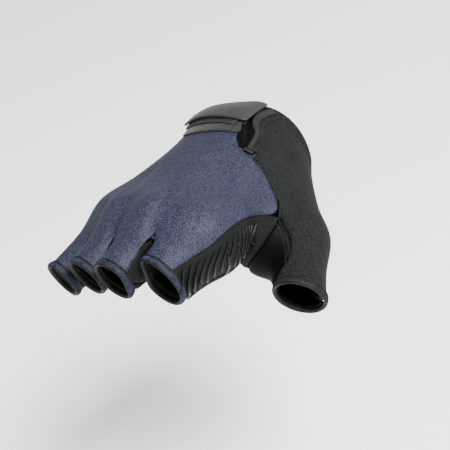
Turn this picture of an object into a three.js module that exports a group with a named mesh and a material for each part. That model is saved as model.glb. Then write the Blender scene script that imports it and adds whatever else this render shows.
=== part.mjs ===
import * as THREE from "three";

// Sizes in millimetres
const handSize = 100;
const softness = 4;
const wallOf = { navy: 1.3, knit: 1.3, leather: 1.6, gusset: 1.2, fork: 1 };
const hem = { width: 2.6, thick: 1.8 };
const binding = { width: 3, thick: 2 };
const clearance = 0.3;
// Side strips narrow at the gap, panel corners set back at the gap and at the thumb corner
const forkNarrow = 2;
const insetShare = 0.8;
const webSetback = 3;
const cornerShare = 0.2;

const wristLine = -(binding.width + clearance / 2);

// Columns and rows of the panels
const fingerColumns = 6;
const handRows = 14;
const fingerRows = 4;
const thumbRows = 6;
const knitColumns = 10;
const gussetColumns = 7;
const forkColumns = 3;
const hemColumns = 20;
const wristColumns = 36;
const tapeColumns = 16;
const tackColumns = 4;
const ribColumns = 10;

// The worn form: rounded bones, ends in hundredths of the hand size
const boneTable = [
  { name: "wristRadial", group: "palm", from: [10, 18, -1], to: [10, -10, -2], thick: [18.5, 18] },
  { name: "wristUlnar", group: "palm", from: [-11, 18, -1], to: [-11, -10, -2.5], thick: [18, 17] },
  { name: "indexHand", group: "palm", from: [13, -18, -1], to: [26, -91, -1], thick: [15.5, 12.4] },
  { name: "middleHand", group: "palm", from: [3, -18, 0.5], to: [5, -94, 2], thick: [16, 12.8] },
  { name: "ringHand", group: "palm", from: [-7, -18, -0.5], to: [-15, -88, -0.5], thick: [15.5, 11.8] },
  { name: "littleHand", group: "palm", from: [-14, -18, -4], to: [-31, -78, -6], thick: [13, 10.4] },
  { name: "heel", group: "palm", from: [-16, -21, -10], to: [-28, -68, -10], thick: [11.5, 10.3] },
  { name: "palmPad", group: "palm", from: [25, -86, -10], to: [-18, -82, -9], thick: [10.3, 10] },
  { name: "thumbBall", group: "palm", from: [20, -12, -12], to: [47, -49, -28], thick: [13.2, 11.8] },
  { name: "thumbInner", group: "palm", from: [6, -22, -14], to: [34, -58, -28], thick: [12, 11] },
  { name: "web", group: "palm", from: [27, -36, -10], to: [36.5, -56.5, -18.5], thick: [11, 8.5] },
  { name: "thumb", group: "thumb", from: [47, -49, -28], to: [64.5, -84, -45.5], thick: [11.8, 10.4] },
  { name: "little", group: "little", from: [-31, -78, -7], to: [-48.5, -120, -22.5], thick: [9.4, 8.2] },
  { name: "ring", group: "ring", from: [-15, -88, -1], to: [-28.2, -131, -16.5], thick: [10.2, 8.8] },
  { name: "middle", group: "middle", from: [4, -94, 2], to: [-6, -141, -12.5], thick: [10.8, 9] },
  { name: "index", group: "index", from: [23, -91, -2], to: [12.5, -133.5, -13.5], thick: [11, 9.3] },
  { name: "indexPad", group: "index", from: [27, -84, -8], to: [19, -116, -13], thick: [8.6, 7.6] },
];

// Finger openings: share of the bone where the hem starts, half turns of the side seams
const fingerTable = [
  { name: "little", start: 0.8, ulnar: -90, radial: 75 },
  { name: "ring", start: 0.69, ulnar: -75, radial: 75 },
  { name: "middle", start: 0.64, ulnar: -68, radial: 75 },
  { name: "index", start: 0.61, ulnar: -62, radial: 61 },
];
// Thumb opening: share of the bone, slant of the hem, turns of its two seams
const thumbEdge = { start: 0.69, tilt: 0.09, stitch: -62, hidden: 118 };

// Gaps between the fingers, back and palm side, in hundredths of the hand size
const webTable = [
  { name: "ulnarSide", back: [-44, -92, -8], palm: [-44, -92, -8] },
  { name: "ringLittle", back: [-29.5, -101, 2], palm: [-30, -99, -13] },
  { name: "middleRing", back: [-11, -106, 6], palm: [-13, -104, -11] },
  { name: "indexMiddle", back: [11.5, -105, 6], palm: [9, -103, -11] },
  { name: "radialSide", back: [38.5, -102, 0], palm: [38.5, -102, 0] },
];

// Seam courses, in hundredths of the hand size; those at station 0 begin at the wrist line
const seamTable = {
  ulnar: [[-30, 0, -8], [-28, -30, -12], [-33, -60, -12], [-44, -92, -8]],
  slit: [[20, 0, 16], [18.2, -18, 18], [22, -25, 16], [24, -37.4, 14], [29.7, -43, 9.7],
    [34.3, -44.3, 0.2], [37.5, -45, -7.6], [44.1, -56.2, -12.5]],
  index: [[44.1, -56.2, -12.5], [36.4, -59, -10], [36.5, -66, -5.5], [40.8, -78, 0.5], [41.5, -88, 3],
    [40.8, -95, 3], [38.5, -102, 0]],
  wristPalm: [[24, 0, -17], [33, -14, -25], [42, -31, -33]],
  thumbBall: [[42, -31, -33], [36.5, -44, -40], [31, -55, -39], [29.5, -64, -33], [33, -69, -27],
    [39, -69.5, -21], [43, -64.5, -16.5], [44.1, -56.2, -12.5]],
  thumbStitch: [[44.1, -56.2, -12.5], [50.4, -59.4, -15.2], [55, -66, -21.2]],
  thumbHidden: [[42, -31, -33], [48, -43, -40], [52, -55, -45]],
  tack: [[21.6, -39.8, 15], [26, -39.6, 13]],
};

// Middle line of the knitted panel, and the way it bulges
const knitMiddle = [[9, -3, -3], [14, -14, -6], [24, -26, -12], [33, -37, -18], [44, -47, -26],
  [54, -62, -35], [57.5, -70, -38.5]];
const knitBulge = [0.75, 0.35, 0.45];

// Layers at the wrist: edges by turn in degrees and station in hundredths, rise above the back panel
const loopPatch = { columns: 14, rows: 5, thick: 0.6, table: [
  { startTurn: 15, startY: -5, endTurn: 21.5, endY: -29.2, rise: 0.35 },
  { startTurn: 9, startY: -5, endTurn: 11, endY: -30, rise: 0.35 },
  { startTurn: 0, startY: -6, endTurn: 0, endY: -30.6, rise: 0.35 },
  { startTurn: -15, startY: -8, endTurn: -15, endY: -30.4, rise: 0.35 },
  { startTurn: -28, startY: -9, endTurn: -28, endY: -29.2, rise: 0.35 },
  { startTurn: -37.5, startY: -10.5, endTurn: -36.5, endY: -27, rise: 0.35 },
] };
const hookPad = { columns: 12, rows: 4, thick: 0.6, table: [
  { startTurn: 12, startY: -6, endTurn: 14, endY: -25, rise: 1.3 },
  { startTurn: 0, startY: -6.5, endTurn: 0, endY: -24.6, rise: 1.3 },
  { startTurn: -15, startY: -8.5, endTurn: -15, endY: -24, rise: 1.3 },
  { startTurn: -27, startY: -10, endTurn: -27, endY: -23.2, rise: 1.3 },
  { startTurn: -37, startY: -12, endTurn: -36.5, endY: -22, rise: 1.3 },
] };
const closureStrap = { columns: 18, rows: 5, thick: 1.2, table: [
  { startTurn: 21.5, startY: -1.2, endTurn: 20, endY: -21, rise: 1.3 },
  { startTurn: 15, startY: -1.8, endTurn: 15, endY: -22, rise: 2.15 },
  { startTurn: 5, startY: -3.4, endTurn: 5, endY: -21.8, rise: 2.25 },
  { startTurn: -8, startY: -5.2, endTurn: -8, endY: -20.8, rise: 2.25 },
  { startTurn: -20, startY: -7.2, endTurn: -20, endY: -20, rise: 2.25 },
  { startTurn: -29, startY: -9, endTurn: -29, endY: -19.8, rise: 2.25 },
  { startTurn: -37, startY: -10.6, endTurn: -37, endY: -19.2, rise: 2.25 },
  { startTurn: -41, startY: -12.8, endTurn: -41, endY: -17.8, rise: 2.25 },
] };
const slitGusset = { columns: 6, rows: 3, thick: 0.5, table: [
  { startTurn: 17.5, startY: -22.6, endTurn: 22.2, endY: -22.8, rise: 1.25 },
  { startTurn: 20.5, startY: -27, endTurn: 27.6, endY: -26, rise: 1.25 },
  { startTurn: 24.6, startY: -32.5, endTurn: 30.4, endY: -31.5, rise: 0.9 },
  { startTurn: 28.6, startY: -37, endTurn: 31.6, endY: -36.4, rise: 0.5 },
] };
const slitTape = { left: [4.2, 2.2], narrowing: [0.3, 0.6], right: 0.3, thick: 1, setback: 0.25 };
const tack = { width: 2.4, thick: 1.4 };

// Grip ribs: columns and rows on the palm panel, bend in rows
const ribSize = { width: 1.9, thick: 0.7, rise: 0.1, taper: 0.45 };
const ribTable = [
  { column: [18.8, 23], row: [7.2, 7.4], bend: -0.5 },
  { column: [17.8, 23.2], row: [8.8, 9], bend: -0.6 },
  { column: [17.8, 23.2], row: [10.4, 10.6], bend: -0.7 },
  { column: [18, 23], row: [12, 12.2], bend: -0.6 },
  { column: [1, 5.6], row: [5, 5.4], bend: 0.4 },
  { column: [1, 6.2], row: [6.2, 6.6], bend: 0.4 },
  { column: [1.2, 6.6], row: [7.4, 7.8], bend: 0.4 },
  { column: [1.4, 6.4], row: [8.6, 9], bend: 0.4 },
  { column: [1.8, 5.8], row: [9.8, 10.1], bend: 0.4 },
];

const vector = ([x, y, z]) => new THREE.Vector3(x, y, z).multiplyScalar(handSize / 100);
const mix = (a, b, share) => a.clone().lerp(b, share);
const mixNumber = THREE.MathUtils.lerp;
const clamp = (value, low, high) => Math.min(Math.max(value, low), high);
const radians = THREE.MathUtils.degToRad;

const bones = boneTable.map((bone) => ({
  name: bone.name,
  group: bone.group,
  from: vector(bone.from),
  to: vector(bone.to),
  thick: bone.thick.map((size) => size * handSize / 100),
}));
const fingerNames = fingerTable.map((finger) => finger.name);
const pickBones = (...groups) => bones.filter((bone) => groups.includes(bone.group));
const boneNamed = (name) => bones.find((bone) => bone.name === name);

// Distance from a point to the skin of the form
function boneDistance(point, bone) {
  const length = bone.to.clone().sub(bone.from);
  const share = clamp(point.clone().sub(bone.from).dot(length) / length.lengthSq(), 0, 1);
  const thick = bone.thick[0] + (bone.thick[1] - bone.thick[0]) * share;
  return point.distanceTo(mix(bone.from, bone.to, share)) - thick;
}
function blendDistance(point, list) {
  const distances = list.map((bone) => boneDistance(point, bone));
  const least = Math.min(...distances);
  const sum = distances.reduce((total, each) => total + Math.exp((least - each) / softness), 0);
  return least - softness * Math.log(sum);
}
const everyBone = pickBones("palm", "thumb", ...fingerNames);
const wholeForm = (point) => blendDistance(point, everyBone);
function fingerForm(name, share) {
  const own = pickBones("palm", "thumb", name);
  return (point) => share * blendDistance(point, own) + (1 - share) * wholeForm(point);
}

// Outward direction, landing on the form, casting from inside
function slopeOf(point, form) {
  const step = 0.05;
  const axes = [[1, 0, 0], [0, 1, 0], [0, 0, 1]].map((axis) => new THREE.Vector3(...axis));
  return new THREE.Vector3(...axes.map((axis) => {
    const ahead = form(point.clone().addScaledVector(axis, step));
    const behind = form(point.clone().addScaledVector(axis, -step));
    return (ahead - behind) / (2 * step);
  }));
}
function land(point, form) {
  const slope = slopeOf(point, form);
  return point.clone().addScaledVector(slope, -clamp(form(point) / slope.lengthSq(), -4, 4));
}
function settle(point, form) {
  let landed = point;
  for (let round = 0; round < 12; round += 1) landed = land(landed, form);
  return landed;
}
function cast(origin, direction, form) {
  let reach = 0;
  for (let round = 0; round < 60; round += 1) {
    reach -= clamp(form(origin.clone().addScaledVector(direction, reach)), -6, 6);
  }
  return origin.clone().addScaledVector(direction, reach);
}
const place = (point, form) => ({ point, out: slopeOf(point, form).normalize() });
const placeAll = (points, form) => points.map((point) => place(point, form));

// A spot at the wrist edge faces straight out from the hand's length
function atStation(point, y, form) {
  const spot = place(point.clone().setY(y), form);
  spot.out.setY(0).normalize();
  return spot;
}

// A smooth course through a few points, cut in equal lengths and laid on the form
function course(table, count, form) {
  const places = table.map(vector);
  const fromWrist = places[0].y === 0;
  if (fromWrist) places[0].y = wristLine;
  const curve = new THREE.CatmullRomCurve3(places, false, "centripetal");
  const points = curve.getSpacedPoints(count);
  return points.map((point, index) => {
    const landed = settle(point, form);
    return index === 0 && fromWrist ? atStation(landed, point.y, form) : place(landed, form);
  });
}

// Four-sided filling between bordering rows
function filling(bottom, top, left, right, column, row) {
  const u = column / (bottom.length - 1);
  const v = row / (left.length - 1);
  const sum = new THREE.Vector3();
  sum.addScaledVector(bottom[column], 1 - v).addScaledVector(top[column], v);
  sum.addScaledVector(left[row], 1 - u).addScaledVector(right[row], u);
  sum.addScaledVector(bottom[0], -(1 - u) * (1 - v)).addScaledVector(bottom.at(-1), -u * (1 - v));
  sum.addScaledVector(top[0], -(1 - u) * v).addScaledVector(top.at(-1), -u * v);
  return sum;
}
const pointsOf = (list) => list.map((spot) => spot.point);

// A panel whose inside points come from a guess, corrected to meet its borders
function fillPanel(borders, guess, formAt, keep = (point) => point) {
  const { bottom, top, left, right } = borders;
  const difference = (list, where) =>
    list.map((spot, index) => spot.point.clone().sub(guess(...where(index))));
  const lastColumn = bottom.length - 1;
  const lastRow = left.length - 1;
  const edges = [
    difference(bottom, (index) => [index, 0]),
    difference(top, (index) => [index, lastRow]),
    difference(left, (index) => [0, index]),
    difference(right, (index) => [lastColumn, index]),
  ];
  const grid = [];
  for (let row = 0; row <= lastRow; row += 1) {
    grid.push(bottom.map((spot, column) => {
      if (row === 0) return bottom[column];
      if (row === lastRow) return top[column];
      if (column === 0) return left[row];
      if (column === lastColumn) return right[row];
      const form = formAt(row / lastRow);
      const point = guess(column, row).add(filling(...edges, column, row));
      return { point: settle(point, form) };
    }));
  }
  relax(grid, formAt, keep);
  return grid;
}

// Inside points evened out between their neighbours, then laid on the form again
function relax(grid, formAt, keep, rounds = 120) {
  const lastRow = grid.length - 1;
  const lastColumn = grid[0].length - 1;
  const inside = (work) => {
    for (let row = 1; row < lastRow; row += 1) {
      for (let column = 1; column < lastColumn; column += 1) work(row, column, formAt(row / lastRow));
    }
  };
  for (let round = 0; round < rounds; round += 1) {
    inside((row, column, form) => {
      const near = (down, right) => grid[row + down][column + right].point;
      const right = near(0, 1).clone().sub(near(0, -1));
      const down = near(1, 0).clone().sub(near(-1, 0));
      const even = (right.lengthSq() + down.lengthSq()) / 3;
      const [alongRow, alongColumn] = [down.lengthSq() + even, right.lengthSq() + even];
      const point = new THREE.Vector3();
      point.addScaledVector(near(0, 1), alongRow).addScaledVector(near(0, -1), alongRow);
      point.addScaledVector(near(1, 0), alongColumn).addScaledVector(near(-1, 0), alongColumn);
      const skew = right.dot(down) / 3;
      point.addScaledVector(near(1, 1), -skew).addScaledVector(near(1, -1), skew);
      point.addScaledVector(near(-1, 1), skew).addScaledVector(near(-1, -1), -skew);
      point.divideScalar(2 * (alongRow + alongColumn));
      grid[row][column] = { point: keep(land(point, form), row / lastRow) };
    });
  }
  inside((row, column, form) => {
    const point = keep(settle(grid[row][column].point, form), row / lastRow);
    grid[row][column] = place(point, form);
  });
}

// Turn and station of a point round the middle line of the hand, and back
const flatness = 1.8;
const middleLine = (y) => new THREE.Vector3(y * 0.02, y, -3);
function toChart(point, side) {
  const arm = point.clone().sub(middleLine(point.y));
  let turn = Math.atan2(arm.x / flatness, arm.z);
  if (side === "palm" && turn > 0) turn -= 2 * Math.PI;
  return new THREE.Vector3(turn, point.y, 0);
}
function fromChart(spot, form) {
  const direction = new THREE.Vector3(Math.sin(spot.x) * flatness, 0, Math.cos(spot.x)).normalize();
  return cast(middleLine(spot.y), direction, form);
}
function chartGuess(borders, side) {
  const charts = ["bottom", "top", "left", "right"].map((name) =>
    borders[name].map((spot) => toChart(spot.point, side)));
  return (column, row) => fromChart(filling(...charts, column, row), wholeForm);
}

// A row of spots round a centre from one seam to the other
function arcRow(centre, start, end, towards, count, form) {
  const across = start.clone().sub(end).normalize();
  const up = towards.clone().addScaledVector(across, -towards.dot(across)).normalize();
  const side = new THREE.Vector3().crossVectors(across, up);
  const polar = (point) => {
    const arm = point.clone().sub(centre);
    return { turn: Math.atan2(arm.dot(across), arm.dot(up)), shift: arm.dot(side) };
  };
  const first = polar(start);
  const last = polar(end);
  return Array.from({ length: count + 1 }, (unused, index) => {
    const share = index / count;
    const turn = first.turn + (last.turn - first.turn) * share;
    const origin = centre.clone().addScaledVector(side, first.shift + (last.shift - first.shift) * share);
    const direction = across.clone().multiplyScalar(Math.sin(turn)).addScaledVector(up, Math.cos(turn));
    return cast(origin, direction, form);
  });
}

// Spots on the tube of a finger, turned from its back towards the thumb side
function tubeFrame(bone) {
  const along = bone.to.clone().sub(bone.from).normalize();
  const side = new THREE.Vector3().crossVectors(new THREE.Vector3(0, 0, 1), along).negate().normalize();
  const up = new THREE.Vector3().crossVectors(side, along).normalize();
  if (up.z < 0) up.negate();
  if (side.x < 0) side.negate();
  return { along, side, up };
}
function tubeSpot(bone, share, degrees, form) {
  const frame = tubeFrame(bone);
  const direction = frame.up.clone().multiplyScalar(Math.cos(radians(degrees)));
  direction.addScaledVector(frame.side, Math.sin(radians(degrees)));
  const tilt = bone.name === "thumb" ? thumbEdge.tilt * Math.sin(radians(degrees)) : 0;
  const centre = bone.from.clone().lerp(bone.to, share + tilt);
  const point = cast(centre, direction, form);
  const out = slopeOf(point, form);
  out.addScaledVector(frame.along, -out.dot(frame.along));
  const apart = bone.name === "thumb" ? point : keepApart(bone, point, 1);
  return { point: apart, out: out.normalize() };
}
function turnsBetween(start, end, count) {
  return Array.from({ length: count + 1 }, (unused, index) => start + (end - start) * index / count);
}

// Closed solid between an inner and an outer grid of points
function solidFromGrids(inner, outer, closed = false) {
  const rows = inner.length;
  const columns = inner[0].length;
  const positions = [];
  for (const grid of [inner, outer]) {
    for (const row of grid) {
      for (const point of row) positions.push(point.x, point.y, point.z);
    }
  }
  const index = (layer, row, column) => layer * rows * columns + row * columns + column % columns;
  const faces = [];
  const quad = (a, b, c, d) => faces.push(a, b, c, a, c, d);
  const spans = closed ? columns : columns - 1;
  for (let row = 0; row < rows - 1; row += 1) {
    for (let column = 0; column < spans; column += 1) {
      const corner = (layer) => [index(layer, row, column), index(layer, row, column + 1),
        index(layer, row + 1, column + 1), index(layer, row + 1, column)];
      quad(...corner(1));
      quad(...corner(0).reverse());
    }
  }
  for (let column = 0; column < spans; column += 1) {
    const last = rows - 1;
    quad(index(0, 0, column), index(0, 0, column + 1), index(1, 0, column + 1), index(1, 0, column));
    quad(index(1, last, column), index(1, last, column + 1),
      index(0, last, column + 1), index(0, last, column));
  }
  if (!closed) {
    for (let row = 0; row < rows - 1; row += 1) {
      const last = columns - 1;
      quad(index(1, row, 0), index(1, row + 1, 0), index(0, row + 1, 0), index(0, row, 0));
      quad(index(0, row, last), index(0, row + 1, last), index(1, row + 1, last), index(1, row, last));
    }
  }
  const geometry = new THREE.BufferGeometry();
  geometry.setAttribute("position", new THREE.Float32BufferAttribute(positions, 3));
  geometry.setIndex(signedVolume(positions, faces) > 0 ? faces : faces.reverse());
  geometry.computeVertexNormals();
  return geometry;
}
function signedVolume(positions, faces) {
  const corner = (face) => new THREE.Vector3().fromArray(positions, face * 3);
  let volume = 0;
  for (let face = 0; face < faces.length; face += 3) {
    const [a, b, c] = [corner(faces[face]), corner(faces[face + 1]), corner(faces[face + 2])];
    volume += a.dot(b.cross(c)) / 6;
  }
  return volume;
}

// Borders drawn in by half the clearance, so neighbouring panels stay apart
const allEdges = { bottom: true, top: true, left: true, right: true };
function drawIn(grid, edges = allEdges, inset = () => clearance / 2) {
  const lastRow = grid.length - 1;
  const lastColumn = grid[0].length - 1;
  const at = (row, column) => grid[clamp(row, 0, lastRow)][clamp(column, 0, lastColumn)].point;
  return grid.map((line, row) => line.map((spot, column) => {
    const point = spot.point.clone();
    const pull = (before, after, inner) => {
      const inward = after.clone().sub(before).cross(spot.out).normalize();
      const arm = inner.clone().sub(spot.point);
      const step = Math.min(inset(row / lastRow), insetShare * arm.length());
      point.addScaledVector(inward, step * Math.sign(inward.dot(arm)));
    };
    if (row === 0 && edges.bottom) pull(at(row, column - 1), at(row, column + 1), at(1, column));
    if (row === lastRow && edges.top) pull(at(row, column - 1), at(row, column + 1), at(lastRow - 1, column));
    if (column === 0 && edges.left) pull(at(row - 1, column), at(row + 1, column), at(row, 1));
    if (column === lastColumn && edges.right) {
      pull(at(row - 1, column), at(row + 1, column), at(row, lastColumn - 1));
    }
    return { point, out: spot.out };
  }));
}
const lifted = (grid, height) => grid.map((row) => row.map((spot) =>
  spot.point.clone().addScaledVector(spot.out, height)));
const group = new THREE.Group();
function addPiece(name, geometry, colour, roughness = 0.9) {
  const material = new THREE.MeshStandardMaterial({ color: colour, roughness });
  material.name = name;
  const mesh = new THREE.Mesh(geometry, material);
  mesh.name = name;
  group.add(mesh);
}
function addPanel(name, grid, wall, colour) {
  addPiece(name, solidFromGrids(lifted(grid, 0), lifted(grid, wall)), colour);
}

// Seams shared by the panels
const half = handRows / 2;
const seams = {
  ulnar: course(seamTable.ulnar, handRows, wholeForm),
  slit: course(seamTable.slit, half, wholeForm),
  index: course(seamTable.index, half, wholeForm),
  wristPalm: course(seamTable.wristPalm, half, wholeForm),
  thumbBall: course(seamTable.thumbBall, half, wholeForm),
};
const meet = (list, index, spot) => { list[index] = spot; };
meet(seams.index, 0, seams.slit.at(-1));
meet(seams.thumbBall, half, seams.slit.at(-1));
meet(seams.thumbBall, 0, seams.wristPalm.at(-1));
const navySeam = [...seams.slit, ...seams.index.slice(1)];
const halfway = (a, b) => ({ point: mix(a.point, b.point, 0.5), out: mix(a.out, b.out, 0.5).normalize() });
const finerIndexSeam = seams.index.flatMap((spot, index) =>
  (index < half ? [spot, halfway(spot, seams.index[index + 1])] : [spot]));

// Points at equal steps along a course of points
function evenly(points, count) {
  const steps = points.slice(1).map((point, index) => point.distanceTo(points[index]));
  const total = steps.reduce((sum, step) => sum + step, 0);
  return Array.from({ length: count + 1 }, (unused, index) => {
    let left = total * index / count;
    let step = 0;
    while (step < steps.length - 1 && left > steps[step]) {
      left -= steps[step];
      step += 1;
    }
    return mix(points[step], points[step + 1], left / steps[step]);
  });
}

// Rows of the finger gaps and of the wrist edge
function webRow(side) {
  const corners = webTable.map((web) => place(settle(vector(web[side]), wholeForm), wholeForm));
  corners[0] = seams.ulnar.at(-1);
  corners[corners.length - 1] = seams.index.at(-1);
  const charts = corners.map((spot) => toChart(spot.point, side));
  const row = fingerTable.flatMap((finger, index) => {
    const fine = Array.from({ length: 4 * fingerColumns + 1 }, (unused, step) =>
      fromChart(mix(charts[index], charts[index + 1], step / (4 * fingerColumns)), wholeForm));
    const inside = evenly(fine, fingerColumns).slice(1, -1).map((point) => settle(point, wholeForm));
    return [corners[index], ...placeAll(inside, wholeForm)];
  });
  return [...row, corners.at(-1)];
}
const webs = { back: webRow("back"), palm: webRow("palm") };
function wristRow(start, end, side, count) {
  const charts = [toChart(start.point, side), toChart(end.point, side)];
  return Array.from({ length: count + 1 }, (unused, index) => {
    if (index === 0) return start;
    if (index === count) return end;
    const point = fromChart(mix(charts[0], charts[1], index / count), wholeForm);
    return atStation(point, start.point.y, wholeForm);
  });
}
const handColumns = fingerTable.length * fingerColumns;
const wristBack = wristRow(seams.ulnar[0], seams.slit[0], "back", handColumns);
const wristPalm = wristRow(seams.ulnar[0], seams.wristPalm[0], "palm", handColumns - handRows);

// Side seams of the fingers, from the gap row to the hem
function sideSeam(finger, from, degrees) {
  const bone = boneNamed(finger.name);
  const end = tubeSpot(bone, finger.start, degrees, fingerForm(finger.name, 1));
  const list = [from];
  for (let row = 1; row < fingerRows; row += 1) {
    const share = row / fingerRows;
    const form = fingerForm(finger.name, share);
    const point = keepApart(finger, settle(mix(from.point, end.point, share), form), share);
    list.push(place(point, form));
  }
  return [...list, end];
}

// Keeps a finger's side on its own half of the gap to its neighbour
function keepApart(finger, point, share, room = wallOf.leather + clearance / 2) {
  const order = fingerNames.indexOf(finger.name);
  const kept = point.clone();
  for (const other of [fingerNames[order - 1], fingerNames[order + 1]].filter(Boolean)) {
    const own = boneNamed(finger.name);
    const next = boneNamed(other);
    const station = (bone) => clamp((point.y - bone.from.y) / (bone.to.y - bone.from.y), 0, 1);
    const a = mix(own.from, own.to, station(own));
    const b = mix(next.from, next.to, station(next));
    const towards = b.clone().sub(a).normalize();
    const beyond = kept.clone().sub(mix(a, b, 0.5)).dot(towards) + room;
    if (beyond > 0) kept.addScaledVector(towards, -beyond * Math.min(1, share * fingerRows));
  }
  return kept;
}

// Hand panels
const thumbCorner = seams.slit.at(-1);
const notch = place(settle(mix(seams.slit.at(-2).point, seams.index[1].point, 0.5), wholeForm), wholeForm);
const backSide = navySeam.map((spot) => (spot === thumbCorner ? notch : spot));
const backBorders = { bottom: wristBack, top: webs.back, left: seams.ulnar, right: backSide };
const backGrid = fillPanel(backBorders, chartGuess(backBorders, "back"), () => wholeForm);
const palmBorders = {
  bottom: [...wristPalm, ...seams.wristPalm.slice(1), ...seams.thumbBall.slice(1)],
  top: webs.palm,
  left: seams.ulnar,
  right: finerIndexSeam,
};
const palmGrid = fillPanel(palmBorders, chartGuess(palmBorders, "palm"), () => wholeForm);

// Finger parts of the back and the palm, and the side strips between fingers
function fingerPanel(finger, index, side, seamsOf) {
  const web = webs[side].slice(index * fingerColumns, (index + 1) * fingerColumns + 1);
  const [start, end] = side === "back" ? [finger.ulnar, finger.radial] : seamsOf.palmTurns;
  const bone = boneNamed(finger.name);
  const form = fingerForm(finger.name, 1);
  const top = turnsBetween(start, end, fingerColumns).map((turn) => tubeSpot(bone, finger.start, turn, form));
  top[0] = seamsOf[side][0].at(-1);
  top[fingerColumns] = seamsOf[side][1].at(-1);
  const borders = { bottom: web, top, left: seamsOf[side][0], right: seamsOf[side][1] };
  const lists = ["bottom", "top", "left", "right"].map((name) => pointsOf(borders[name]));
  const guess = (column, row) => filling(...lists, column, row);
  const keep = (point, share) => keepApart(finger, point, share);
  return fillPanel(borders, guess, (share) => fingerForm(finger.name, share), keep);
}
const fingers = fingerTable.map((finger, index) => {
  const corner = (side, step) => webs[side][(index + step) * fingerColumns];
  const outer = index === 0;
  const inner = index === fingerTable.length - 1;
  const palmUlnar = outer ? finger.ulnar : -180 - finger.ulnar;
  const palmRadial = inner ? finger.radial : 180 - finger.radial;
  const back = [
    sideSeam(finger, corner("back", 0), finger.ulnar),
    sideSeam(finger, corner("back", 1), finger.radial),
  ];
  const palm = [
    outer ? back[0] : sideSeam(finger, corner("palm", 0), palmUlnar),
    inner ? back[1] : sideSeam(finger, corner("palm", 1), palmRadial),
  ];
  const seamsOf = { back, palm, palmTurns: [palmUlnar, palmRadial - 360] };
  return {
    ...finger,
    seams: seamsOf,
    back: fingerPanel(finger, index, "back", seamsOf),
    palm: fingerPanel(finger, index, "palm", seamsOf),
  };
});

// Side strip from one hem over the finger gap to the next hem, straight across from seam to seam
function forkGrid(low, high) {
  const edge = (side) => [...low.seams[side][1].slice().reverse(), ...high.seams[side][0].slice(1)];
  const [back, palm] = [edge("back"), edge("palm")];
  const points = back.map((spot, row) => Array.from({ length: forkColumns + 1 }, (unused, column) =>
    mix(spot.point, palm[row].point, column / forkColumns)));
  const at = (row, column) => points[clamp(row, 0, back.length - 1)][clamp(column, 0, forkColumns)];
  const facing = (row, column) => {
    const along = at(row + 1, column).clone().sub(at(row - 1, column));
    return along.cross(at(row, column + 1).clone().sub(at(row, column - 1))).normalize();
  };
  const sign = Math.sign(facing(0, 0).dot(back[0].out));
  return points.map((line, row) => line.map((point, column) =>
    ({ point, out: facing(row, column).multiplyScalar(sign) })));
}

// Thumb panels
const thumbBone = boneNamed("thumb");
const thumbForm = (point) => blendDistance(point, pickBones("palm", "thumb"));
const thumbEnd = {
  stitch: tubeSpot(thumbBone, thumbEdge.start, thumbEdge.stitch, thumbForm),
  hidden: tubeSpot(thumbBone, thumbEdge.start, thumbEdge.hidden, thumbForm),
};
function thumbSeam(table, start, end) {
  const last = end.point.toArray().map((value) => value * 100 / handSize);
  const list = course([...table, last], thumbRows, thumbForm);
  list[0] = start;
  list[thumbRows] = end;
  return list;
}
seams.stitch = thumbSeam(seamTable.thumbStitch, seams.slit.at(-1), thumbEnd.stitch);
seams.hidden = thumbSeam(seamTable.thumbHidden, seams.wristPalm.at(-1), thumbEnd.hidden);
const thumbArc = (start, end, count) => turnsBetween(start, end, count).map((turn) =>
  tubeSpot(thumbBone, thumbEdge.start, turn, thumbForm));
const knitBorders = {
  left: [...seams.slit, ...seams.stitch.slice(1)],
  right: [...seams.wristPalm, ...seams.hidden.slice(1)],
  top: thumbArc(thumbEdge.stitch, thumbEdge.hidden, knitColumns),
};
const knitCentres = new THREE.CatmullRomCurve3(knitMiddle.map(vector), false, "centripetal");
const knitOut = vector(knitBulge).normalize();
function knitGuessRow(row) {
  const share = row / (knitBorders.left.length - 1);
  const [start, end] = [knitBorders.left[row].point, knitBorders.right[row].point];
  return arcRow(knitCentres.getPoint(share), start, end, knitOut, knitColumns, wholeForm);
}
knitBorders.bottom = wristRow(seams.slit[0], seams.wristPalm[0], "back", knitColumns);
knitBorders.top[0] = thumbEnd.stitch;
knitBorders.top[knitColumns] = thumbEnd.hidden;
const knitRows = knitBorders.left.map((spot, row) => knitGuessRow(row));
const knitGrid = fillPanel(knitBorders, (column, row) => knitRows[row][column].clone(), () => wholeForm);
const gussetBorders = {
  bottom: seams.thumbBall.slice().reverse(),
  top: thumbArc(thumbEdge.stitch, thumbEdge.hidden - 360, gussetColumns),
  left: seams.stitch,
  right: seams.hidden,
};
gussetBorders.top[0] = thumbEnd.stitch;
gussetBorders.top[gussetColumns] = thumbEnd.hidden;
const gussetLists = ["bottom", "top", "left", "right"].map((name) => pointsOf(gussetBorders[name]));
const gussetGuess = (column, row) => filling(...gussetLists, column, row);
const gussetGrid = fillPanel(gussetBorders, gussetGuess, () => wholeForm);

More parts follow.
